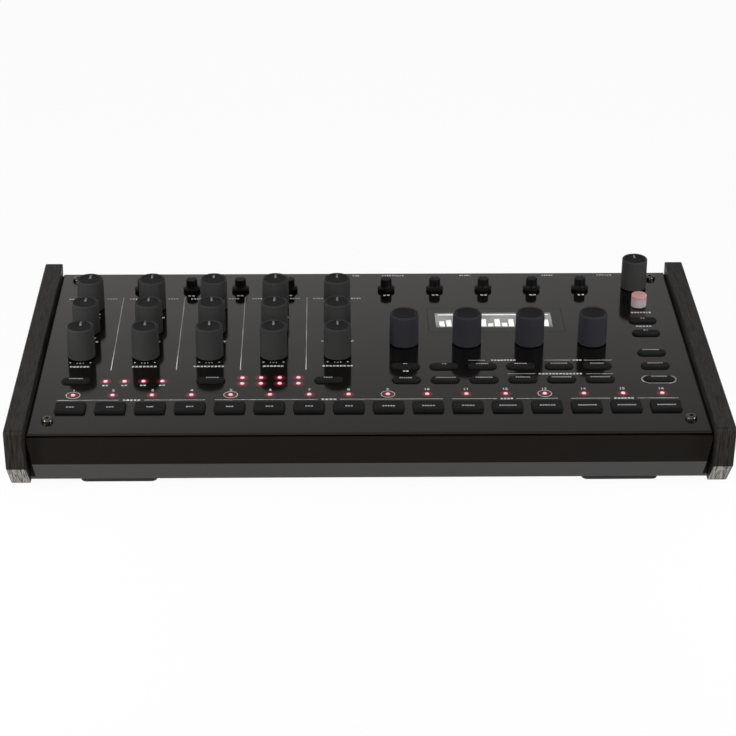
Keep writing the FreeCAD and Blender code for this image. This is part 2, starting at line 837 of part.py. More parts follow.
def fasteners():
    """Four panel screws, and the screws that hold the cheeks from inside the case."""
    screws = []
    shank_length = screw_length + panel_thickness
    panel_screw = screw(screw_head_radius, screw_head_height, screw_shank_radius, shank_length)
    for x, t in screw_places():
        one = panel_screw.copy()
        one.translate(Vector(x, t, 0))
        screws.append(on_panel(one))
    for side in (-1, 1):
        for setback in cheek_screw_setbacks:
            one = screw(cheek_head_radius, cheek_head_height, cheek_shank_radius, cheek_screw_length)
            one.rotate(Vector(0, 0, 0), Vector(0, 1, 0), -90 * side)
            one.translate(Vector(side * (inner_width / 2 - case_wall), front_y + setback, cheek_screw_height))
            screws.append(one)
    return Part.makeCompound(screws)


def rubber_feet():
    """Four rounded rubber strips under the case."""
    feet = []
    for x in (-foot_pitch_x / 2, foot_pitch_x / 2):
        for y in (front_y + foot_front_setback, rear_y - foot_rear_setback):
            foot = rounded_plate(foot_length, foot_width, foot_height, foot_corner, x, y, 0)
            feet.append(fillet_where(foot, foot_ground_edge, lambda e: at_height(e, 0.0)))
    return Part.makeCompound(feet)


def save(name, shape):
    """Write one sub-part."""
    shape.exportStep("parts/" + name + ".step")


def main():
    """Build and write every sub-part."""
    os.makedirs("parts", exist_ok=True)
    save("top_panel", top_panel())
    save("bottom_case", bottom_case())
    save("left_cheek", cheek(-1))
    save("right_cheek", cheek(1))
    save("display_unit", display_unit())
    save("circuit_boards", circuit_boards())
    save("rear_sockets", rear_sockets())
    save("indicator_leds", indicator_leds())
    save("fasteners", fasteners())
    save("rubber_feet", rubber_feet())
    for name, x, t, kind in knob_places():
        save(name, on_panel(turning_control(x, t, kind)))
    for i in range(step_count):
        save("step_key_%02d" % (i + 1), on_panel(step_key(i)))
    save("small_keys", on_panel(Part.makeCompound([small_key(x, t) for x, t in small_key_places()])))
    save("power_button", power_button())


main()
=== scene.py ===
"""Looks of a tabletop drum machine: finishes, panel printing, lit display and rear trim, in a plain studio."""

import json
import logging
import math
from dataclasses import dataclass, field
from enum import Enum
from functools import lru_cache

import bpy
import numpy as np
from mathutils import Matrix, Vector

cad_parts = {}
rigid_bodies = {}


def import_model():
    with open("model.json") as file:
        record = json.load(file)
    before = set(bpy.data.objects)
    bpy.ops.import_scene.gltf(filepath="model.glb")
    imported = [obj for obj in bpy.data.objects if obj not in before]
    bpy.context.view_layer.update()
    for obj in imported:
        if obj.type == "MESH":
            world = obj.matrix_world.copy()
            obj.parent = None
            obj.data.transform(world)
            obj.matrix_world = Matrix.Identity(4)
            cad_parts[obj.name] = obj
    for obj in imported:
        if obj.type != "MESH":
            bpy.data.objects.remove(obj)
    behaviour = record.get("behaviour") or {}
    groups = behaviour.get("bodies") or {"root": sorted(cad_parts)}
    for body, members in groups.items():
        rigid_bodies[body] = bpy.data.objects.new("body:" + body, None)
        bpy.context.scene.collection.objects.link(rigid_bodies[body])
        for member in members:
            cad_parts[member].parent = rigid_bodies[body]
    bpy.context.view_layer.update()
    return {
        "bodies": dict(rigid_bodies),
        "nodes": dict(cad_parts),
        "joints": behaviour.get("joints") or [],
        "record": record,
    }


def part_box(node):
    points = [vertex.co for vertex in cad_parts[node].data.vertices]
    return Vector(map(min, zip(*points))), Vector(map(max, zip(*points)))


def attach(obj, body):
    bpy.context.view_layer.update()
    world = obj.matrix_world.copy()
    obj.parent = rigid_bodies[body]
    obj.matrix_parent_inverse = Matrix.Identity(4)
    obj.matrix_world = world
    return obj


LOG = logging.getLogger("drum_machine")
MM = 0.001
WHITE = (1.0, 1.0, 1.0, 1.0)
NOISE_SPREAD = (0.3, 0.7)
SHARP_DEGREES = 35.0


class Body(Enum):
    """Bodies that new pieces ride on, apart from the knobs and keys named in the frame."""

    CASE = "root"
    SMALL_KEYS = "small_keys"


class Slot(Enum):
    """Material slots of the record, named for the kinds of new pieces."""

    INK = "panel_metal"
    SCREEN = "display_window"
    POINTER = "knob_rubber"
    KEY_MARK = "key_rubber"
    METAL = "screw_steel"
    SOCKET = "socket_plastic"


# Colour and shader nodes


def linear(hex_colour: str) -> tuple[float, float, float, float]:
    """Turn an sRGB hex colour into linear red, green, blue and a full alpha.

    Args:
        hex_colour: Six hex digits after a hash sign.

    Returns:
        The linear colour with alpha 1.
    """
    channels = [int(hex_colour[i:i + 2], 16) / 255 for i in (1, 3, 5)]
    red, green, blue = [c / 12.92 if c <= 0.04045 else ((c + 0.055) / 1.055) ** 2.4 for c in channels]
    return red, green, blue, 1.0


def add_node(tree: bpy.types.NodeTree, kind: str, inputs: dict | None = None,
             **settings: object) -> bpy.types.Node:
    """Add a shader node with its settings, values and links.

    Args:
        tree: The node tree that takes the node.
        kind: The node's type name without its ShaderNode prefix.
        inputs: Socket name or number against a value, or against an output socket to link.
        settings: Properties of the node.

    Returns:
        The new node.
    """
    node = tree.nodes.new("ShaderNode" + kind)
    for name, value in settings.items():
        setattr(node, name, value)
    for key, value in (inputs or {}).items():
        if isinstance(value, bpy.types.NodeSocket):
            tree.links.new(value, node.inputs[key])
        else:
            node.inputs[key].default_value = value
    return node


def span(side: str, low: float, high: float) -> dict[str, float]:
    """Ends of a range, named as a Map Range node names them; side is From or To."""
    return {side + " Min": low, side + " Max": high}


# Meshes


def grid_faces(rows: int, columns: int) -> np.ndarray:
    """Quads of a grid of points in row order, each row a closed loop.

    Args:
        rows: Number of rows of points.
        columns: Number of points in each row.

    Returns:
        One line of four point numbers for each quad.
    """
    row = np.arange(rows - 1)[:, None] * columns
    start = np.arange(columns)[None, :]
    after = (start + 1) % columns
    quads = np.stack([row + start, row + after, row + columns + after, row + columns + start], axis=-1)
    return quads.reshape(-1, 4)


def make_piece(name: str, points: np.ndarray, faces: list, material: bpy.types.Material) -> bpy.types.Object:
    """Put points and faces into a mesh object at the origin, smooth but for its sharp edges.

    Args:
        name: The object's name.
        points: World points in metres.
        faces: Lists of point numbers.
        material: The finish of the whole piece.

    Returns:
        The new object.
    """
    mesh = bpy.data.meshes.new(name)
    mesh.from_pydata(points.tolist(), [], [list(map(int, f)) for f in faces])
    mesh.validate()
    mesh.shade_smooth()
    mesh.set_sharp_from_angle(angle=math.radians(SHARP_DEGREES))
    mesh.materials.append(material)
    piece = bpy.data.objects.new(name, mesh)
    bpy.context.scene.collection.objects.link(piece)
    return piece


def lathe(profile: list[tuple[float, float]], segments: int) -> tuple[np.ndarray, np.ndarray]:
    """Surface of revolution about the Z axis.

    A point at profile step s and angle a is (r(s) cos a, r(s) sin a, z(s)).

    Args:
        profile: Radius and height of each step, from the outside bottom round the section and back.
        segments: Number of steps round the axis.

    Returns:
        The points and the quads.
    """
    section = np.array(profile)
    angle = np.linspace(0, 2 * math.pi, segments, endpoint=False)
    points = np.empty((len(section), segments, 3))
    points[..., 0] = section[:, :1] * np.cos(angle)
    points[..., 1] = section[:, :1] * np.sin(angle)
    points[..., 2] = section[:, 1:]
    return points.reshape(-1, 3), grid_faces(len(section), segments)


def ride(piece: bpy.types.Object, body: str) -> None:
    """Let a piece move with a body, and report it."""
    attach(piece, body)
    LOG.info("%s rides on %s", piece.name, body)


@dataclass(frozen=True)
class PanelPlane:
    """The panel's sloping top face: (x, t, h) in mm, with t up the slope and h out of the face.

    Attributes:
        front: World place of the face's front edge, at x = 0, in metres.
        slope: Angle of the face in radians.
    """

    front: Vector
    slope: float

    @classmethod
    def from_knob(cls, joint: dict, t_mm: float) -> "PanelPlane":
        """Find the plane from the joint of a knob whose t is known.

        Args:
            joint: The knob's joint, whose place lies on the face and whose axis is the face's normal.
            t_mm: How far up the slope the knob stands.

        Returns:
            The plane.
        """
        axis = Vector(joint["axis"])
        slope = math.atan2(-axis.y, axis.z)
        along = Vector((0, math.cos(slope), math.sin(slope)))
        place = Vector(joint["pos_m"])
        front = Vector((0, place.y, place.z)) - along * t_mm * MM
        return cls(front.freeze(), slope)

    def place(self, points: np.ndarray) -> np.ndarray:
        """Carry panel points in mm to the world in metres.

        y = front + t cos(slope) - h sin(slope), and z = front + t sin(slope) + h cos(slope).

        Args:
            points: Rows of x, t and h.

        Returns:
            Rows of world x, y and z.
        """
        x, t, h = points.T * MM
        y = self.front.y + t * math.cos(self.slope) - h * math.sin(self.slope)
        z = self.front.z + t * math.sin(self.slope) + h * math.cos(self.slope)
        return np.stack([x, y, z], axis=1)

    def top_of(self, node: bpy.types.Object) -> float:
        """Height in mm of a node's highest point above the face."""
        points = np.empty(len(node.data.vertices) * 3, np.float32)
        node.data.vertices.foreach_get("co", points)
        y, z = points.reshape(-1, 3)[:, 1:].T
        rise = (z - self.front.z) * math.cos(self.slope) - (y - self.front.y) * math.sin(self.slope)
        return float(rise.max()) / MM


# Finishes


@dataclass(frozen=True)
class Finish:
    """A solid finish with a mottled colour, a fine surface grain and a roughness that follows it.

    Attributes:
        name: Common name of the material and how its surface was made.
        colour: Main colour.
        shade: Colour of the mottling.
        roughness: Mean roughness.
        roughness_swing: How far the grain moves the roughness each way.
        grain_mm: Size of the surface grain, drawn coarse enough to show.
        grain_depth_mm: Depth of the grain.
        mottle_mm: Size of the mottling.
        metallic: 1 for bare metal.
        ior: Index of refraction.
        specular: Strength of the mirror reflection, 0.5 being what the index gives.
        specular_tint: Colour of the mirror reflection.
    """

    name: str
    colour: str
    shade: str
    roughness: float
    roughness_swing: float = 0.05
    grain_mm: float = 0.8
    grain_depth_mm: float = 0.01
    mottle_mm: float = 25.0
    metallic: float = 0.0
    ior: float = 1.5
    specular: float = 0.5
    specular_tint: str = "#ffffff"

    def pattern_place(self, tree: bpy.types.NodeTree) -> bpy.types.NodeSocket:
        """Coordinates that the grain follows: the piece's own place."""
        return add_node(tree, "TexCoord").outputs["Object"]

    def dress(self, tree: bpy.types.NodeTree, shader: bpy.types.Node) -> None:
        """Add what a finish of a special kind needs beyond the plain one."""

    def material(self) -> bpy.types.Material:
        """Return the material, built once."""
        return build_finish(self)


@lru_cache(maxsize=None)
def build_finish(finish: Finish) -> bpy.types.Material:
    """Build a finish's shader.

    Args:
        finish: The finish.

    Returns:
        The material, the same one each time for the same finish.
    """
    material = bpy.data.materials.new(finish.name)
    material.use_nodes = True
    tree = material.node_tree
    shader = tree.nodes["Principled BSDF"]
    place = finish.pattern_place(tree)
    mottle = add_node(tree, "TexNoise", {"Vector": place, "Scale": 1 / (finish.mottle_mm * MM), "Detail": 4.0})
    blend = add_node(tree, "Mix", {0: mottle.outputs["Fac"], 6: linear(finish.colour), 7: linear(finish.shade)},
                     data_type="RGBA")
    tree.links.new(blend.outputs[2], shader.inputs["Base Color"])
    grain = add_node(tree, "TexNoise", {"Vector": place, "Scale": 1 / (finish.grain_mm * MM), "Detail": 3.0})
    swing = add_node(tree, "MapRange", {"Value": grain.outputs["Fac"], **span("From", *NOISE_SPREAD),
                                        **span("To", finish.roughness - finish.roughness_swing,
                                               finish.roughness + finish.roughness_swing)})
    tree.links.new(swing.outputs["Result"], shader.inputs["Roughness"])
    bump = add_node(tree, "Bump", {"Height": grain.outputs["Fac"], "Distance": finish.grain_depth_mm * MM,
                                   "Strength": 1.0})
    tree.links.new(bump.outputs["Normal"], shader.inputs["Normal"])
    shader.inputs["Metallic"].default_value = finish.metallic
    shader.inputs["IOR"].default_value = finish.ior
    shader.inputs["Specular IOR Level"].default_value = finish.specular
    shader.inputs["Specular Tint"].default_value = linear(finish.specular_tint)
    finish.dress(tree, shader)
    return material


@dataclass(frozen=True)
class LightRow:
    """A row of equal lights: x of the first, their pitch, their number and their t, in mm."""

    first: float
    pitch: float
    count: int
    t: float


@dataclass(frozen=True)
class LitPaint(Finish):
    """Panel paint that shows the red halo that each indicator light throws on it.

    Attributes:
        rows: The rows of lights.
        plane: The panel's face.
        halo: Colour of the halo where it is brightest.
        reach_mm: Radius at which the halo has faded out.
        fade: How fast it fades.
    """

    rows: tuple[LightRow, ...] = ()
    plane: PanelPlane | None = None
    halo: str = "#9a1c38"
    reach_mm: float = 4.6
    fade: float = 1.1

    def dress(self, tree: bpy.types.NodeTree, shader: bpy.types.Node) -> None:
        """Add the halos: the emission falls with the distance to the nearest light of any row."""
        place = add_node(tree, "SeparateXYZ", {0: add_node(tree, "TexCoord").outputs["Object"]})
        nearest = None
        for row in self.rows:
            distance = self.row_distance(tree, place, row)
            if nearest is not None:
                distance = add_node(tree, "Math", {0: nearest, 1: distance}, operation="MINIMUM").outputs[0]
            nearest = distance
        near = add_node(tree, "MapRange", {"Value": nearest, **span("From", self.reach_mm * MM, 0.0)})
        fall = add_node(tree, "Math", {0: near.outputs["Result"], 1: self.fade}, operation="POWER")
        glow = add_node(tree, "Mix", {0: fall.outputs[0], 6: linear("#000000"), 7: linear(self.halo)},
                        data_type="RGBA")
        tree.links.new(glow.outputs[2], shader.inputs["Emission Color"])
        shader.inputs["Emission Strength"].default_value = 1.0

    def row_distance(self, tree: bpy.types.NodeTree, place: bpy.types.Node,
                     row: LightRow) -> bpy.types.NodeSocket:
        """Distance from a point of the panel to the nearest light of a row.

        Args:
            tree: The node tree.
            place: The node that gives the point's x and y.
            row: The row of lights.

        Returns:
            The socket that carries the distance in metres.
        """
        row_y = self.plane.place(np.array([[0.0, row.t, 0.0]]))[0, 1]
        first = row.first * MM
        last = first + (row.count - 1) * row.pitch * MM
        x = place.outputs["X"]
        inside = add_node(tree, "Clamp", {"Value": x, "Min": first, "Max": last}).outputs[0]
        beyond = add_node(tree, "Math", {0: x, 1: inside}, operation="SUBTRACT").outputs[0]
        from_first = add_node(tree, "Math", {0: inside, 1: first}, operation="SUBTRACT").outputs[0]
        between = add_node(tree, "Math", {0: from_first, 1: row.pitch * MM / 2}, operation="PINGPONG").outputs[0]
        outside = add_node(tree, "Math", {0: beyond}, operation="ABSOLUTE").outputs[0]
        across = add_node(tree, "Math", {0: between, 1: outside}, operation="ADD").outputs[0]
        depth = add_node(tree, "Math", {0: place.outputs["Y"], 1: row_y}, operation="SUBTRACT").outputs[0]
        offset = add_node(tree, "CombineXYZ", {"X": across, "Y": depth})
        return add_node(tree, "VectorMath", {0: offset.outputs[0]}, operation="LENGTH").outputs["Value"]


@dataclass(frozen=True)
class StainedWood(Finish):
    """Black-stained open-grain wood: long fibres from front to back, short ones down the front face.

    Attributes:
        fibre_mm: Length of the fibres.
        pore_mm: Width of the pores between them.
        pore_colour: Colour of the stain in the pores.
        pore_edge: Levels of the noise at a pore's edge.
        pore_break: How broken up the pores are, from 0 to 1.
        side_limit: A face is a side where its normal leans this far along x.
        floor_reflection_colour: Colour of the faces that look down, a painted reflection of the pale floor.
        floor_reflection_edge: Rise of the normal at which that colour starts, and where it is full.
    """

    fibre_mm: float = 14.0
    pore_mm: float = 0.7
    pore_colour: str = "#0c0a09"
    pore_edge: tuple[float, float] = (0.4, 0.56)
    pore_break: float = 0.65
    side_limit: float = 0.7
    floor_reflection_colour: str = "#9d9993"
    floor_reflection_edge: tuple[float, float] = (-0.5, -0.65)

    def dress(self, tree: bpy.types.NodeTree, shader: bpy.types.Node) -> None:
        """Draw the pores: a noise that is stretched along the fibres, across x on top and z on the sides."""
        place = add_node(tree, "TexCoord").outputs["Object"]
        normal = add_node(tree, "SeparateXYZ", {0: add_node(tree, "NewGeometry").outputs["Normal"]})
        sideways = add_node(tree, "Math", {0: normal.outputs["X"]}, operation="ABSOLUTE").outputs[0]
        on_side = add_node(tree, "Math", {0: sideways, 1: self.side_limit}, operation="GREATER_THAN").outputs[0]
        fine = 1 / (self.pore_mm * MM)
        long = 1 / (self.fibre_mm * MM)
        patterns = []
        for scale in ((fine, long, long), (long, long, fine)):
            stretched = add_node(tree, "Mapping", {"Vector": place, "Scale": scale})
            noise = add_node(tree, "TexNoise", {"Vector": stretched.outputs[0], "Scale": 1.0, "Detail": 5.0,
                                                "Roughness": self.pore_break})
            patterns.append(noise.outputs["Fac"])
        pick = add_node(tree, "Mix", {0: on_side, 2: patterns[0], 3: patterns[1]}, data_type="FLOAT")
        pores = add_node(tree, "MapRange", {"Value": pick.outputs[0], **span("From", *self.pore_edge)})
        # Faces that look down are painted pale: a painted reflection of the floor.
        floor_reflection_share = add_node(tree, "MapRange", {"Value": normal.outputs["Z"], **span("From", *self.floor_reflection_edge)})
        board = shader.inputs["Base Color"].links[0].from_socket
        colour = add_node(tree, "Mix", {0: floor_reflection_share.outputs["Result"], 6: board, 7: linear(self.floor_reflection_colour)},
                          data_type="RGBA").outputs[2]
        stain = add_node(tree, "Mix", {0: pores.outputs["Result"], 6: linear(self.pore_colour), 7: colour},
                         data_type="RGBA")
        tree.links.new(stain.outputs[2], shader.inputs["Base Color"])
        bump = add_node(tree, "Bump", {"Height": pores.outputs["Result"], "Distance": self.grain_depth_mm * MM,
                                       "Strength": 1.0})
        tree.links.new(bump.outputs["Normal"], shader.inputs["Normal"])


@dataclass(frozen=True)
class SoftRubber(Finish):
    """Soft-touch rubber of a cap, with its flat top darker than its side: a painted shade.

    Attributes:
        shaded_top_colour: Colour of the faces that look up.
        shaded_top_edge: Rise of the normal at which that colour starts, and where it is full.
    """

    shaded_top_colour: str = "#0c0c0c"
    shaded_top_edge: tuple[float, float] = (0.9, 0.98)

    def dress(self, tree: bpy.types.NodeTree, shader: bpy.types.Node) -> None:
        """Blend to the top's colour, a painted shade, where the surface looks up."""
        normal = add_node(tree, "SeparateXYZ", {0: add_node(tree, "NewGeometry").outputs["Normal"]})
        top = add_node(tree, "MapRange", {"Value": normal.outputs["Z"], **span("From", *self.shaded_top_edge)})
        side = shader.inputs["Base Color"].links[0].from_socket
        colour = add_node(tree, "Mix", {0: top.outputs["Result"], 6: side, 7: linear(self.shaded_top_colour)},
                          data_type="RGBA")
        tree.links.new(colour.outputs[2], shader.inputs["Base Color"])


@dataclass(frozen=True)
class LitLens(Finish):
    """Diffusing plastic lit from below: one colour low down and a paler one at the top.

    Attributes:
        plane: The panel's face, from which heights are measured.
        low: Glow near the panel.
        high: Glow at the top.
        height_mm: Height at which the top colour is reached.
        start_mm: Height at which the low colour starts to change.
        strength: Strength of the glow.
        clear: How much of the light passes through.
    """

    plane: PanelPlane | None = None
    low: str = "#b01020"
    high: str = "#ffd9dd"
    height_mm: float = 0.6
    start_mm: float = 0.0
    strength: float = 1.6
    clear: float = 0.0

    def dress(self, tree: bpy.types.NodeTree, shader: bpy.types.Node) -> None:
        """Blend the glow by the height over the panel, which is the place dotted with the face's normal."""
        place = add_node(tree, "TexCoord").outputs["Object"]
        from_front = add_node(tree, "VectorMath", {0: place, 1: self.plane.front}, operation="SUBTRACT")
        up = (0.0, -math.sin(self.plane.slope), math.cos(self.plane.slope))
        rise = add_node(tree, "VectorMath", {0: from_front.outputs[0], 1: up}, operation="DOT_PRODUCT")
        share = add_node(tree, "MapRange", {"Value": rise.outputs["Value"],
                                            **span("From", self.start_mm * MM, self.height_mm * MM)})
        glow = add_node(tree, "Mix", {0: share.outputs["Result"], 6: linear(self.low), 7: linear(self.high)},
                        data_type="RGBA")
        tree.links.new(glow.outputs[2], shader.inputs["Emission Color"])
        shader.inputs["Emission Strength"].default_value = self.strength
        shader.inputs["Transmission Weight"].default_value = self.clear


@dataclass(frozen=True)
class LitInk(Finish):
    """Printing or a lit picture element: a plain pigment that also glows a little. On printing that glow is
    painted light; the display's picture glows for real.

    Attributes:
        strength: Strength of the glow in the main colour.
    """

    strength: float = 0.0

    def dress(self, tree: bpy.types.NodeTree, shader: bpy.types.Node) -> None:
        """Let the colour glow."""
        shader.inputs["Emission Color"].default_value = linear(self.colour)
        shader.inputs["Emission Strength"].default_value = self.strength


# Printing


def stadium(half_straight: float, radius: float, segments: int) -> np.ndarray:
    """Outline of two half circles joined by straight lines along x.

    A point at angle a is (radius cos a + half_straight sign(cos a), radius sin a).

    Args:
        half_straight: Half the length of the straight lines.
        radius: Radius of the ends.
        segments: Number of points, an even number.

    Returns:
        Rows of x and y, in order round the outline.
    """
    angle = (np.arange(segments) + 0.5) * 2 * math.pi / segments
    x = radius * np.cos(angle) + half_straight * np.sign(np.cos(angle))
    return np.stack([x, radius * np.sin(angle)], axis=1)


class InkSheet:
    """Flat printed marks gathered into one piece, at one height over the panel.

    Attributes:
        plane: The panel's face.
        height: Height of the ink over the face, in mm.
        thickness: Thickness of the ink, in mm.
        block_pitch: Pitch of a label's blocks as a share of their height.
        block_share: Width of a label's blocks as a share of their pitch.
        bolder: How far a numeral's outline is moved out, as a share of its height.
        letter_size: Size of the lettering whose figures are 1 high.
        bar_points: Points of a bar's outline.
        dot_points: Points of a dot's outline.
        loop_points: Points of each edge of a ring or a loop.
    """

    thickness = 0.04
    block_pitch = 1.15
    block_share = 0.72
    bolder = 0.035
    letter_size = 1.35
    bar_points = 12
    dot_points = 16
    loop_points = 48

    def __init__(self, plane: PanelPlane, height: float) -> None:
        """Start an empty sheet at a height in mm."""
        self.plane = plane
        self.height = height
        self.points: list[np.ndarray] = []
        self.faces: list[list[int]] = []

    def add(self, flat: np.ndarray, faces: list, x: float, t: float) -> None:
        """Add flat points and their faces, moved to x and t."""
        start = sum(len(p) for p in self.points)
        moved = flat + np.array([x, t])
        self.points.append(np.column_stack([moved, np.full(len(moved), self.height + self.thickness)]))
        self.faces += [[start + int(i) for i in face] for face in faces]

    def bar(self, x: float, t: float, length: float, width: float, turn: float = 0.0) -> None:
        """Add a bar with round ends, turned by an angle in degrees."""
        outline = stadium((length - width) / 2, width / 2, self.bar_points)
        angle = math.radians(turn)
        spin = np.array([[math.cos(angle), math.sin(angle)], [-math.sin(angle), math.cos(angle)]])
        self.add(outline @ spin, [range(self.bar_points)], x, t)

    def dot(self, x: float, t: float, radius: float) -> None:
        """Add a round dot."""
        self.add(stadium(0.0, radius, self.dot_points), [range(self.dot_points)], x, t)

    def triangle(self, x: float, t: float, size: float) -> None:
        """Add a triangle that points down the slope."""
        angle = np.radians(270 + np.array([0, 120, 240]))
        self.add(size * np.stack([np.cos(angle), np.sin(angle)], axis=1), [range(3)], x, t)

    def block(self, x: float, t: float, width: float, depth: float) -> None:
        """Add a plain rectangle."""
        corners = np.array([[-width, -depth], [width, -depth], [width, depth], [-width, depth]]) / 2
        self.add(corners, [range(4)], x, t)

    def label(self, x: float, t: float, width: float, height: float) -> None:
        """Add a row of small plain blocks, as wide and high as a line of lettering but without letters."""
        count = max(2, round(width / (height * self.block_pitch)))
        pitch = width / count
        for i in range(count):
            self.block(x + (i - (count - 1) / 2) * pitch, t, pitch * self.block_share, height)

    def loop(self, x: float, t: float, half_straight: float, radius: float, width: float) -> None:
        """Add a band that follows a stadium outline, or a ring where half_straight is 0."""
        inner = stadium(half_straight, radius - width / 2, self.loop_points)
        outer = stadium(half_straight, radius + width / 2, self.loop_points)
        self.add(np.vstack([outer, inner]), grid_faces(2, self.loop_points)[:, ::-1], x, t)

    def numeral(self, text: str, x: float, t: float, height: float) -> None:
        """Add a plain number, centred, whose figures are as high as given."""
        curve = bpy.data.curves.new("numeral", "FONT")
        curve.body = text
        curve.align_x = "CENTER"
        curve.align_y = "CENTER"
        curve.size = height * self.letter_size
        curve.resolution_u = 3
        curve.offset = height * self.bolder
        holder = bpy.data.objects.new("numeral", curve)
        bpy.context.scene.collection.objects.link(holder)
        mesh = bpy.data.meshes.new_from_object(holder)
        points = np.empty(len(mesh.vertices) * 3)
        mesh.vertices.foreach_get("co", points)
        self.add(points.reshape(-1, 3)[:, :2], [list(p.vertices) for p in mesh.polygons], x, t)
        bpy.data.objects.remove(holder)
        bpy.data.curves.remove(curve)
        bpy.data.meshes.remove(mesh)

    def piece(self, name: str, finish: Finish, body: str, slot: Slot) -> None:
        """Make the sheet a piece with its thickness, riding on a body."""
        points = self.plane.place(np.vstack(self.points))
        piece = make_piece(name, points, self.faces, finish.material())
        solid = piece.modifiers.new("ink thickness", "SOLIDIFY")
        solid.thickness = self.thickness * MM
        solid.offset = -1.0
        ride(piece, body)


@dataclass
class PanelPrinting:
    """Lines, numbers, rings and plain labels on the panel, in mm: x across, t up the slope.

    Rows of plain blocks stand where the panel is labelled.

    The fields for labels and scales hold, in this order:
        label_heights: brackets, small keys, rear edge, level knobs, sound knobs, headers, lights
        level_label, light_label: how far the label lies in front, its width
        knob_triangle: how far it lies in front, its size
        knob_dots: to the side, in front, radius
        knob_ticks: to the side, in front, length, width
    """

    ink: Finish
    plane: PanelPlane
    lift: float = 0.02
    line: float = 0.55
    column_lines: tuple = (-179.6, -134.1, -89.3, -43.4)
    column_line_t: tuple = (93.0, 213.0)
    bracket_t: float = 48.0
    brackets: tuple = ((-212.8, -170.5), (-153.5, -112.0), (-105.4, -35.0), (-20.0, 50.3), (56.5, 87.5),
                       (100.5, 129.1), (137.7, 165.0), (183.5, 211.5))
    bracket_labels: tuple = ((-162.0, 12.5), (-27.5, 11.0), (94.0, 9.0), (174.2, 14.0))
    key_line_share: float = 0.8
    key_brackets: tuple = ((70.9, 82.7, 106.5), (124.3, 143.7, 106.3), (152.5, 172.4, 106.0),
                           (97.4, 116.5, 85.3), (151.9, 171.1, 84.8))
    key_labels: tuple = ((95.6, 18.0, 106.6), (147.6, 7.0, 106.2), (134.0, 31.0, 85.1), (26.3, 4.5, 90.2),
                         (202.3, 15.0, 184.0), (201.5, 12.0, 160.8))
    rear_labels: tuple = ((-6.6, 6.0), (21.5, 17.0), (76.3, 9.0), (138.8, 9.0), (182.2, 12.0))
    rear_label_t: float = 250.5
    label_heights: tuple = (2.2, 2.0, 1.7, 2.0, 2.1, 1.9, 1.8)
    level_label: tuple = (9.6, 5.6)
    light_label: tuple = (5.9, 4.6)
    knob_label_drop: float = 16.7
    knob_label_widths: tuple = ((16, 20, 18, 20, 18), (20, 18, 22, 16, 24), (14, 18, 22, 15, 22))
    knob_triangle: tuple = (11.2, 0.9)
    knob_dots: tuple = (7.0, 10.4, 0.65)
    knob_ticks: tuple = (2.1, 11.0, 1.6, 0.6)
    header_t: float = 210.1
    header_side: float = 14.0
    header_width: float = 8.0
    step_number_t: float = 62.3
    step_number_height: float = 3.0
    ring_radius: float = 4.7
    ringed_steps: tuple = (0, 4, 8, 12)
    outlined_key: tuple = (201.8, 76.0)
    outline_size: tuple = (23.8, 11.6)

    def bars(self, sheet: InkSheet) -> None:
        """Add the long lines and brackets."""
        low, high = self.column_line_t
        for x in self.column_lines:
            sheet.bar(x, (low + high) / 2, high - low, self.line, 90.0)
        for start, end in self.brackets:
            sheet.bar((start + end) / 2, self.bracket_t, end - start, self.line)
        for start, end, t in self.key_brackets:
            sheet.bar((start + end) / 2, t, end - start, self.line * self.key_line_share)

    def knob_scale(self, sheet: InkSheet, x: float, t: float) -> None:
        """Add the marks of a sound knob's scale: a triangle in front, and a tick and a dot to each side."""
        drop, size = self.knob_triangle
        sheet.triangle(x, t - drop, size)
        dot_side, dot_drop, radius = self.knob_dots
        tick_side, tick_drop, length, width = self.knob_ticks
        for side in (-1, 1):
            sheet.dot(x + side * dot_side, t - dot_drop, radius)
            sheet.bar(x + side * tick_side, t - tick_drop, length, width, 90.0)

    def labels(self, sheet: InkSheet, levels: list, knobs: list, edits: list) -> None:
        """Add the rows of blocks that stand for labels, and the knobs' scales."""
        bracket, key, rear, level, knob, header, light = self.label_heights
        for x, width in self.bracket_labels:
            sheet.label(x, self.bracket_t, width, bracket)
        for x, width, t in self.key_labels:
            sheet.label(x, t, width, key)
        for x, width in self.rear_labels:
            sheet.label(x, self.rear_label_t, width, rear)
        drop, width = self.level_label
        for x, t in levels:
            sheet.label(x, t - drop, width, level)
        widths = [width for row in self.knob_label_widths for width in row]
        for (x, t), width in zip(knobs, widths):
            sheet.label(x, t - self.knob_label_drop, width, knob)
            self.knob_scale(sheet, x, t)
        for x, _ in knobs[:len(self.knob_label_widths[0])]:
            for side in (-1, 1):
                sheet.label(x + side * self.header_side, self.header_t, self.header_width, header)
        drop, width = self.light_label
        for x, t in edits:
            sheet.label(x, t - drop, width, light)

    def build(self, steps: list, edits: list, levels: list, knobs: list) -> None:
        """Make the printing.

        Args:
            steps: x and t of the step lights.
            edits: x and t of the four lights at the left.
            levels: x and t of the level knobs.
            knobs: x and t of the sound knobs, row by row from the rear.
        """
        sheet = InkSheet(self.plane, self.lift)
        self.bars(sheet)
        self.labels(sheet, levels, knobs, edits)
        sheet.piece("panel_lines", self.ink, Body.CASE.value, Slot.INK)
        numbers = InkSheet(self.plane, self.lift)
        for i, (x, t) in enumerate(steps):
            numbers.numeral(str(i + 1), x, self.step_number_t, self.step_number_height)
            if i in self.ringed_steps:
                numbers.loop(x, t, 0.0, self.ring_radius, self.line)
        numbers.piece("step_numbers", self.ink, Body.CASE.value, Slot.INK)
        outline = InkSheet(self.plane, self.lift)
        width, depth = self.outline_size
        outline.loop(*self.outlined_key, (width - depth) / 2, depth / 2, self.line)
        outline.piece("key_outline", self.ink, Body.CASE.value, Slot.INK)


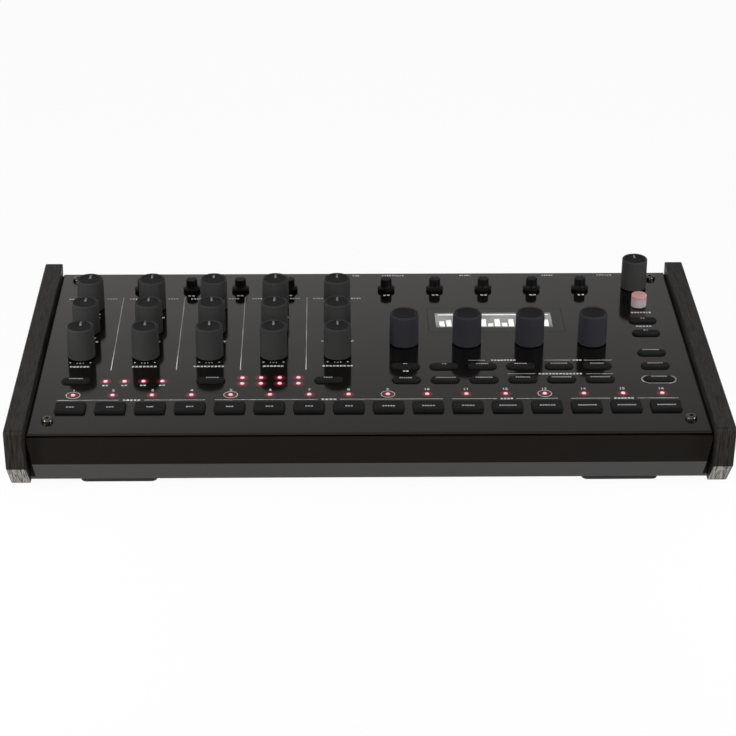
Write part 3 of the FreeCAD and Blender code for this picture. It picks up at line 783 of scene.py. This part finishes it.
@dataclass
class ControlMarks:
    """Pointers on the knob caps and plain marks on the keys, in mm."""

    ink: Finish
    pale_ink: Finish
    plane: PanelPlane
    lift: float = 0.02
    dish_depth: float = 0.5
    pointer_length: float = 6.8
    pointer_width: float = 1.5
    pointer_inner: float = 0.9
    step_mark_height: float = 1.5
    step_mark_back: float = 1.6
    small_mark_height: float = 1.3

    def pointer(self, knob: bpy.types.Object, x: float, t: float) -> None:
        """Print a pointer line on the dished top of a knob."""
        sheet = InkSheet(self.plane, self.plane.top_of(knob) - self.dish_depth + self.lift)
        middle = t + self.pointer_inner + self.pointer_length / 2
        sheet.bar(x, middle, self.pointer_length, self.pointer_width, 90.0)
        sheet.piece(knob.name + "_pointer", self.ink, knob.name, Slot.POINTER)

    def step_mark(self, key: bpy.types.Object, x: float, t: float, width: float) -> None:
        """Print the mark of a step key."""
        sheet = InkSheet(self.plane, self.plane.top_of(key) + self.lift)
        sheet.label(x, t - self.step_mark_back, width, self.step_mark_height)
        sheet.piece(key.name + "_mark", self.pale_ink, key.name, Slot.KEY_MARK)

    def small_marks(self, keys: bpy.types.Object, marks: list) -> None:
        """Print the marks of all small keys: x, t and width each."""
        sheet = InkSheet(self.plane, self.plane.top_of(keys) + self.lift)
        for x, t, width in marks:
            sheet.label(x, t, width, self.small_mark_height)
        sheet.piece("small_key_marks", self.pale_ink, Body.SMALL_KEYS.value, Slot.KEY_MARK)


@dataclass
class DisplayPicture:
    """A generic picture on the display window: a grey field with a row of bright level bars, in mm.

    The bars' heights follow a wave: its lowest value, what the highest adds, its step and its start in radians.
    """

    field_ink: Finish
    bright_ink: Finish
    plane: PanelPlane
    left: float = 50.5
    right: float = 135.4
    low: float = 160.0
    high: float = 184.0
    bars: int = 16
    margin: float = 2.0
    foot: float = 1.5
    bar_share: float = 0.72
    wave: tuple = (4.0, 8.0, 1.7, 0.6)
    line_drop: float = 3.2
    line_width: float = 1.2
    lift: float = 0.02

    def build(self, window: bpy.types.Object) -> None:
        """Draw the picture on the window."""
        height = self.plane.top_of(window) + self.lift
        width = self.right - self.left
        middle = (self.left + self.right) / 2
        grey = InkSheet(self.plane, height)
        grey.block(middle, (self.low + self.high) / 2, width, self.high - self.low)
        grey.piece("display_field", self.field_ink, Body.CASE.value, Slot.SCREEN)
        bright = InkSheet(self.plane, height + InkSheet.thickness + self.lift)
        pitch = (width - 2 * self.margin) / self.bars
        lowest, more, step, start = self.wave
        levels = lowest + more * np.abs(np.sin(np.arange(self.bars) * step + start))
        for i, level in enumerate(levels):
            x = self.left + self.margin + pitch * (i + 0.5)
            bright.block(x, self.low + self.foot + level / 2, pitch * self.bar_share, level)
        bright.block(middle, self.high - self.line_drop, width - 2 * self.margin, self.line_width)
        bright.piece("display_bars", self.bright_ink, Body.CASE.value, Slot.SCREEN)


@dataclass
class RearTrim:
    """Rings, sleeves and tongues of the rear sockets, in mm.

    tongue_shares are the half sizes of a tongue as shares of its socket's box.
    """

    metal: Finish
    plastic: Finish
    ring_width: float = 2.1
    ring_rise: float = 0.7
    ring_lap: float = 0.02
    sleeve_wall: float = 0.12
    sleeve_share: float = 0.8
    tongue_shares: tuple = (0.36, 0.36, 0.14)
    tongue_back: float = 0.1
    tongue_edge: float = 0.2
    segments: int = 40

    def build(self, mounts: list, openings: list) -> None:
        """Make the trim of every bore and every rectangular socket.

        Args:
            mounts: The record's mounts.
            openings: The record's openings.
        """
        for mount in mounts:
            if mount["kind"] == "bore":
                self.ring(mount)
        for opening in openings:
            self.tongue(opening)

    def ring(self, mount: dict) -> None:
        """Make the raised ring at a socket's mouth and the metal sleeve inside it, as one turned section."""
        radius = mount["dims"]["r_mm"] * MM
        length = mount["dims"]["length_mm"] * MM
        centre = np.array(mount["pos_m"])
        mouth = length / 2
        rise = self.ring_rise * MM
        outer = radius + self.ring_width * MM
        wall = self.sleeve_wall * MM
        back = mouth - length * self.sleeve_share
        lap = mouth + self.ring_lap * MM
        # Out from the wall, over the rounded ring, down into the bore and back along the sleeve's outside.
        section = [(outer, lap), (outer, mouth + rise * 0.6), (outer - rise * 0.4, mouth + rise),
                   (radius + rise * 0.3, mouth + rise), (radius - wall, mouth + rise * 0.4), (radius - wall, back),
                   (radius - wall / 3, back), (radius - wall / 3, lap)]
        points, faces = lathe(section + section[:1], self.segments)
        turned = np.stack([points[:, 0], points[:, 2], -points[:, 1]], axis=1) + centre
        piece = make_piece(mount["name"] + "_ring", turned, faces[:, ::-1], self.metal.material())
        ride(piece, Body.CASE.value)

    def tongue(self, opening: dict) -> None:
        """Make the contact tongue inside a rectangular socket."""
        low, high = np.array(opening["box_m"])
        size = high - low
        signs = np.array([[i, j, k] for k in (-1, 1) for j in (-1, 1) for i in (-1, 1)])
        centre = (low + high) / 2 - np.array([0, size[1] * self.tongue_back, 0])
        points = centre + signs * size * np.array(self.tongue_shares)
        faces = [[0, 2, 3, 1], [4, 5, 7, 6], [0, 1, 5, 4], [2, 6, 7, 3], [0, 4, 6, 2], [1, 3, 7, 5]]
        piece = make_piece(opening["name"] + "_tongue", points, faces, self.plastic.material())
        bevel = piece.modifiers.new("edge", "BEVEL")
        bevel.width = self.tongue_edge * MM
        bevel.segments = 2
        ride(piece, Body.CASE.value)


# Studio


@dataclass(frozen=True)
class Lamp:
    """A soft lamp: where it stands, where it points, its size in metres and its power in watts."""

    name: str
    place: tuple[float, float, float]
    aim: tuple[float, float, float]
    size: tuple[float, float]
    power: float

    def build(self) -> None:
        """Put the lamp into the scene."""
        light = bpy.data.lights.new(self.name, "AREA")
        light.shape = "RECTANGLE"
        light.size, light.size_y = self.size
        light.energy = self.power
        lamp = bpy.data.objects.new(self.name, light)
        lamp.location = self.place
        direction = Vector(self.aim) - Vector(self.place)
        lamp.rotation_euler = direction.to_track_quat("-Z", "Y").to_euler()
        bpy.context.scene.collection.objects.link(lamp)


@dataclass
class Studio:
    """Pale floor, white surroundings, soft lamps and the camera at the photograph's view, in degrees and metres.

    floor_white is how much white the camera sees over the floor's own colour. Mirrors see the surroundings at the
    brightness mirrored_left where a direction's x is -mirrored_span, and mirrored_right where it is mirrored_span,
    times a share that changes with its z: mirrored_low and mirrored_high each hold a z and the share there.
    """

    camera_place: tuple = (-0.0284, -1.5316, 0.7125)
    camera_yaw: float = 1.082
    camera_pitch: float = 23.802
    camera_roll: float = 0.208
    lens_mm: float = 114.71
    sensor_mm: float = 36.0
    floor_size: float = 6.0
    floor_colour: str = "#e9e9e8"
    floor_roughness: float = 0.9
    floor_white: float = 0.95
    world_light: float = 0.26
    mirrored_left: float = 1.0
    mirrored_right: float = 0.63
    mirrored_span: float = 0.2
    mirrored_low: tuple = (0.465, 1.08)
    mirrored_high: tuple = (0.52, 0.57)
    lamps: tuple = field(default_factory=lambda: (
        Lamp("top_softbox", (-0.2, 0.1, 1.9), (0.0, 0.0, 0.0), (1.6, 1.2), 4.0),
        Lamp("front_softbox", (-0.1, -2.2, 1.0), (0.0, 0.0, 0.03), (1.2, 0.8), 4.0),
        Lamp("left_strip", (-0.62, -0.42, 0.3), (-0.1, 0.0, 0.05), (0.15, 0.4), 4.6),
        Lamp("right_strip", (0.66, -0.36, 0.3), (0.1, 0.0, 0.05), (0.15, 0.4), 4.2),
    ))

    def build(self) -> None:
        """Make the floor, the surroundings, the lamps and the camera."""
        self.floor()
        self.surroundings()
        for lamp in self.lamps:
            lamp.build()
        self.camera()
        bpy.context.scene.view_settings.view_transform = "Standard"

    def seen(self, tree: bpy.types.NodeTree, path: bpy.types.Node) -> bpy.types.NodeSocket:
        """Factor that is 1 for camera, mirror and see-through rays."""
        seen = path.outputs["Is Camera Ray"]
        for ray in ("Is Glossy Ray", "Is Transmission Ray"):
            seen = add_node(tree, "Math", {0: seen, 1: path.outputs[ray]}, operation="MAXIMUM").outputs[0]
        return seen

    def floor(self) -> None:
        """Make the floor: a pale matt sheet, whitened for the camera, that keeps the object's shadow."""
        half = self.floor_size / 2
        points = np.array([[-half, -half, 0], [half, -half, 0], [half, half, 0], [-half, half, 0]])
        material = bpy.data.materials.new("pale_floor_sheet")
        material.use_nodes = True
        tree = material.node_tree
        shader = tree.nodes["Principled BSDF"]
        shader.inputs["Base Color"].default_value = linear(self.floor_colour)
        shader.inputs["Roughness"].default_value = self.floor_roughness
        shader.inputs["Specular IOR Level"].default_value = 0.0
        seen = self.seen(tree, add_node(tree, "LightPath"))
        share = add_node(tree, "Math", {0: seen, 1: self.floor_white}, operation="MULTIPLY")
        white = add_node(tree, "Emission", {"Color": WHITE, "Strength": 1.0})
        mixed = add_node(tree, "MixShader", {0: share.outputs[0], 1: shader.outputs[0], 2: white.outputs[0]})
        tree.links.new(mixed.outputs[0], tree.nodes["Material Output"].inputs["Surface"])
        make_piece("floor", points, [range(4)], material)

    def surroundings(self) -> None:
        """White around the object, brightest low down at the left in mirrors, with a softer light for the rest."""
        world = bpy.data.worlds.new("white_studio")
        world.use_nodes = True
        tree = world.node_tree
        path = add_node(tree, "LightPath")
        level = add_node(tree, "MapRange", {"Value": self.seen(tree, path), **span("To", self.world_light, 1.0)})
        direction = add_node(tree, "SeparateXYZ", {0: add_node(tree, "TexCoord").outputs["Generated"]})
        mirrored = add_node(tree, "MapRange", {"Value": direction.outputs["X"],
                                               **span("From", -self.mirrored_span, self.mirrored_span),
                                               **span("To", self.mirrored_left, self.mirrored_right)})
        rises, shares = zip(self.mirrored_low, self.mirrored_high)
        rise = add_node(tree, "MapRange", {"Value": direction.outputs["Z"], **span("From", *rises),
                                           **span("To", *shares)})
        mirror = add_node(tree, "Math", {0: mirrored.outputs["Result"], 1: rise.outputs["Result"]},
                          operation="MULTIPLY")
        strength = add_node(tree, "Mix", {0: path.outputs["Is Glossy Ray"], 2: level.outputs["Result"],
                                          3: mirror.outputs[0]}, data_type="FLOAT")
        background = tree.nodes["Background"]
        background.inputs["Color"].default_value = WHITE
        tree.links.new(strength.outputs[0], background.inputs["Strength"])
        bpy.context.scene.world = world

    def camera(self) -> None:
        """Set the camera from its yaw to the right, its pitch down and its roll."""
        data = bpy.data.cameras.new("photo_view")
        data.lens = self.lens_mm
        data.sensor_width = self.sensor_mm
        data.sensor_fit = "HORIZONTAL"
        camera = bpy.data.objects.new("photo_view", data)
        yaw, pitch, roll = [math.radians(a) for a in (self.camera_yaw, self.camera_pitch, self.camera_roll)]
        turn = (Matrix.Rotation(-yaw, 3, "Z") @ Matrix.Rotation(math.pi / 2 - pitch, 3, "X")
                @ Matrix.Rotation(roll, 3, "Z"))
        camera.matrix_world = Matrix.Translation(self.camera_place) @ turn.to_4x4()
        bpy.context.scene.collection.objects.link(camera)
        bpy.context.scene.camera = camera


@dataclass
class DrumMachine:
    """The whole object: the finish of every node and the pieces that are added to it, with lengths in mm.

    step_mark_widths and small_marks (x, t and width) are those of the marks on the keys.
    """

    frame: dict
    front_knob: str = "sound_knob_11"
    front_knob_t: float = 115.4
    step_row: LightRow = LightRow(-202.4, 26.92, 16, 55.2)
    edit_row: LightRow = LightRow(-181.8, 13.05, 4, 75.8)
    bank_rows: tuple = (LightRow(-87.4, 12.95, 4, 80.6), LightRow(-87.4, 12.95, 4, 71.8))
    step_mark_widths: tuple = (6.0, 5.5, 5.0, 5.5, 5.5, 5.5, 5.5, 5.5,
                               9.0, 9.0, 9.0, 12.0, 11.0, 13.0, 13.0, 13.0)
    small_marks: tuple = (
        (-202.5, 77.7, 10.0), (-108.2, 78.6, 9.0), (-28.0, 78.2, 6.5), (26.1, 98.6, 3.4), (53.5, 98.3, 3.4),
        (80.2, 98.3, 9.0), (107.2, 98.3, 9.0), (134.1, 98.3, 12.0), (161.0, 98.3, 10.0), (25.8, 77.0, 9.0),
        (53.6, 77.3, 14.0), (80.2, 77.3, 12.0), (107.2, 77.3, 10.0), (134.1, 77.3, 14.0), (161.0, 77.3, 14.0),
        (201.9, 77.7, 11.0), (201.8, 98.3, 11.0), (201.4, 119.4, 12.0), (201.8, 151.3, 3.7), (201.8, 171.2, 3.7))

    def __post_init__(self) -> None:
        """Find the panel's plane and set up the finishes."""
        joints = {joint["name"]: joint for joint in self.frame["joints"]}
        self.plane = PanelPlane.from_knob(joints[self.front_knob + "_turn"], self.front_knob_t)
        rows = (self.step_row, self.edit_row, *self.bank_rows)
        # Powder-coated sheet metal: a satin skin that mirrors bright surroundings at a low angle.
        self.panel_coat = LitPaint("powder_coated_sheet", "#0b0a09", "#0f0d0c", 0.1, 0.02, specular=0.25,
                                   specular_tint="#fff0e4", grain_mm=0.9, grain_depth_mm=0.002, rows=rows,
                                   plane=self.plane)
        # Polished ABS moulding: dark brown-black with clean reflections.
        self.case_abs = Finish("polished_black_abs", "#0f0b09", "#120e0b", 0.2, 0.03, grain_mm=1.4,
                               grain_depth_mm=0.002, specular=0.1, specular_tint="#fff3e6")
        # Stained ash: matt black with open pores along the board; its faces that look down are painted pale, a
        # painted reflection of the floor.
        self.wood = StainedWood("black_stained_ash", "#2e2a27", "#211e1b", 0.5, grain_depth_mm=0.05,
                                mottle_mm=40.0, specular=0.1, specular_tint="#fff4ea")
        # Soft-touch rubber coat over moulded caps: a broad dull highlight, and a painted shade that darkens the
        # flat tops.
        self.knob_rubber = SoftRubber("soft_touch_rubber", "#353534", "#2f2f2f", 0.5, grain_mm=0.7,
                                      grain_depth_mm=0.006, specular=0.06)
        self.encoder_rubber = SoftRubber("blue_grey_soft_rubber", "#2c2c31", "#27272c", 0.5, grain_mm=0.7,
                                         grain_depth_mm=0.006, specular=0.06, shaded_top_colour="#0a0a0b")
        self.level_plastic = Finish("moulded_black_acetal", "#0b0b0c", "#0e0e0f", 0.45, grain_mm=0.8,
                                    grain_depth_mm=0.004, specular=0.08)
        self.key_rubber = Finish("moulded_silicone_key", "#1d1d1d", "#181818", 0.6, grain_mm=0.8,
                                 grain_depth_mm=0.008, specular=0.04)
        self.window = Finish("smoked_acrylic_window", "#0b0b0a", "#0d0d0c", 0.06, 0.01, grain_mm=6.0,
                             grain_depth_mm=0.0, specular=0.25, specular_tint="#fff4ea")
        self.steel = Finish("black_zinc_steel", "#5c5955", "#3d3b38", 0.26, 0.08, grain_mm=0.6, metallic=1.0)
        self.bright_metal = Finish("nickel_plated_brass", "#b9b4ab", "#9b968d", 0.25, 0.06, metallic=1.0)
        self.socket = Finish("moulded_socket_plastic", "#121213", "#18181a", 0.5)
        self.board = Finish("solder_masked_board", "#0f3d22", "#15502d", 0.35, mottle_mm=6.0)
        self.foot = Finish("moulded_foot_rubber", "#121212", "#191919", 0.8, grain_depth_mm=0.03)
        self.light_lens = LitLens("diffused_red_lens", "#b98d92", "#c0979c", 0.3, plane=self.plane, low="#8c2338",
                                  high="#dcc0c4", start_mm=0.1, strength=0.75)
        self.clear_cap = LitLens("clear_acrylic_cap", "#a5a0a0", "#8f8a8a", 0.22, plane=self.plane, low="#716a6c",
                                 high="#9c2531", start_mm=5.5, height_mm=7.5, strength=0.5, clear=0.2)
        # The panel printing glows a little: painted light on ink that gives none.
        self.ink = LitInk("screen_printed_ink", "#bbb9b5", "#adaba7", 0.6, strength=0.14)
        self.pointer_ink = LitInk("moulded_pointer", "#7b7977", "#6b6967", 0.6)
        # The key marks glow a little too: painted light.
        self.pale_ink = LitInk("laser_marked_key", "#a9a7a4", "#9b9996", 0.6, strength=0.08)
        self.screen_field = LitInk("lit_screen_field", "#8f8f8d", "#858583", 0.35, strength=0.35)
        self.screen_bright = LitInk("lit_screen_bars", "#f4f4f2", "#e8e8e6", 0.35, strength=0.7)

    def light_places(self, row: LightRow) -> list[tuple[float, float]]:
        """x and t of the lights of a row, in mm."""
        return [(row.first + i * row.pitch, row.t) for i in range(row.count)]

    def knob_places(self, prefix: str) -> dict[str, tuple[float, float]]:
        """x and t in mm of the knobs whose names start with a prefix, from their joints."""
        places = {}
        for joint in self.frame["joints"]:
            if joint["name"].startswith(prefix):
                place = Vector(joint["pos_m"])
                run = (place.y - self.plane.front.y) / math.cos(self.plane.slope)
                places[joint["child"]] = (place.x / MM, run / MM)
        return places

    def finish_of(self, node: str) -> Finish:
        """Choose the finish of a node by its name."""
        chosen = {
            "top_panel": self.panel_coat, "bottom_case": self.case_abs, "left_cheek": self.wood,
            "right_cheek": self.wood, "display_unit": self.window, "circuit_boards": self.board,
            "rear_sockets": self.socket, "indicator_leds": self.light_lens, "fasteners": self.steel,
            "rubber_feet": self.foot, "sound_knob": self.knob_rubber, "volume_knob": self.knob_rubber,
            "display_encoder": self.encoder_rubber, "level_knob": self.level_plastic, "tempo_knob": self.clear_cap,
            "step_key": self.key_rubber, "small_keys": self.key_rubber, "power_button": self.key_rubber,
        }
        return next(finish for start, finish in chosen.items() if node.startswith(start))

    def dress_nodes(self) -> None:
        """Give every node of the frame its finish."""
        for name, node in self.frame["nodes"].items():
            node.data.materials.clear()
            node.data.materials.append(self.finish_of(name).material())
            LOG.info("%s is %s", name, self.finish_of(name).name)

    def build(self) -> None:
        """Dress the nodes and add the printing, the marks, the picture and the rear trim."""
        self.dress_nodes()
        nodes = self.frame["nodes"]
        sound = self.knob_places("sound_knob")
        printing = PanelPrinting(self.ink, self.plane)
        printing.build(self.light_places(self.step_row), self.light_places(self.edit_row),
                       list(self.knob_places("level_knob").values()), [sound[name] for name in sorted(sound)])
        marks = ControlMarks(self.pointer_ink, self.pale_ink, self.plane)
        for name, (x, t) in {**sound, **self.knob_places("volume_knob")}.items():
            marks.pointer(nodes[name], x, t)
        for i, (x, _) in enumerate(self.light_places(self.step_row)):
            low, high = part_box("step_key_%02d" % (i + 1))
            t = ((low.y + high.y) / 2 - self.plane.front.y) / MM
            marks.step_mark(nodes["step_key_%02d" % (i + 1)], x, t, self.step_mark_widths[i])
        marks.small_marks(nodes["small_keys"], self.small_marks)
        DisplayPicture(self.screen_field, self.screen_bright, self.plane).build(nodes["display_unit"])
        record = self.frame["record"]
        RearTrim(self.bright_metal, self.socket).build(record["mounts"], record["physics"].get("openings", []))


def main() -> None:
    """Load the frame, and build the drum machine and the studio."""
    logging.basicConfig(level=logging.INFO, format="%(name)s: %(message)s")
    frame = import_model()
    DrumMachine(frame).build()
    Studio().build()


if __name__ == "__main__":
    main()
